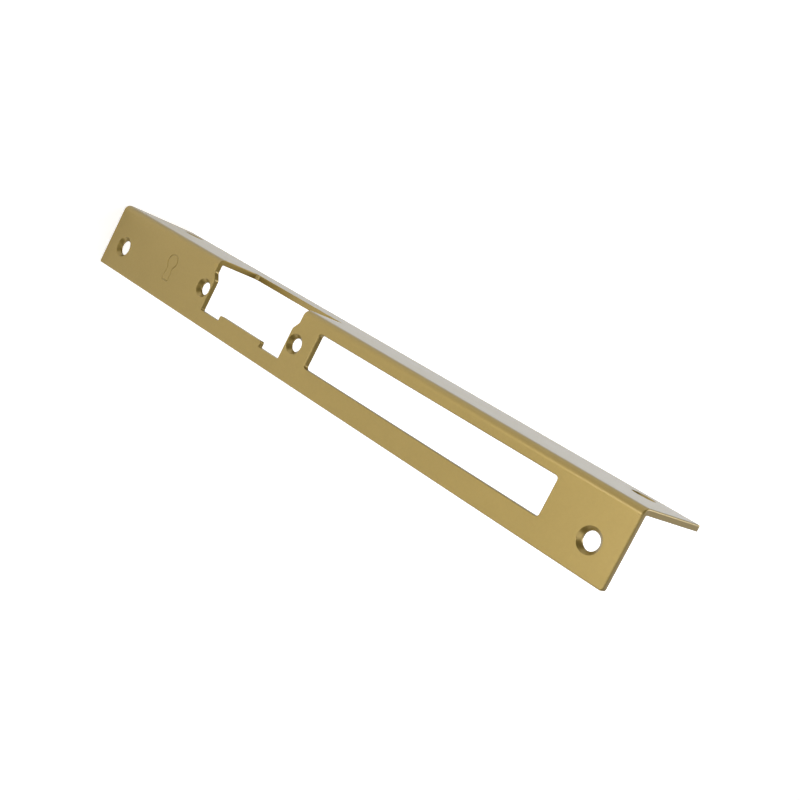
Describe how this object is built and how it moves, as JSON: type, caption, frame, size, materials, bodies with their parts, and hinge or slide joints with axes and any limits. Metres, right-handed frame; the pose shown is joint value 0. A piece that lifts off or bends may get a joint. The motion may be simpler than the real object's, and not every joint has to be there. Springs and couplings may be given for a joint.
{
  "type": "angle strike plate",
  "caption": "Long L-shaped strike plate for an electric door strike: front flange with strike opening and deadbolt slot, folded return flange, countersunk screw holes.",
  "frame": {"origin": "middle of the plate's bounding box, at the end nearest the strike opening, on which it stands", "axes": "+Z along the plate's length, from the strike opening's end towards the deadbolt slot's end; -Y out of the front face, towards the door leaf; -X out of the return flange's outer face"},
  "size_m": [0.0244, 0.035, 0.25],
  "materials": {
    "gold_lacquer": "satin metallic gold lacquer on folded sheet steel"
  },
  "bodies": {
    "root": {"strike_plate": "gold_lacquer"}
  },
  "joints": []
}
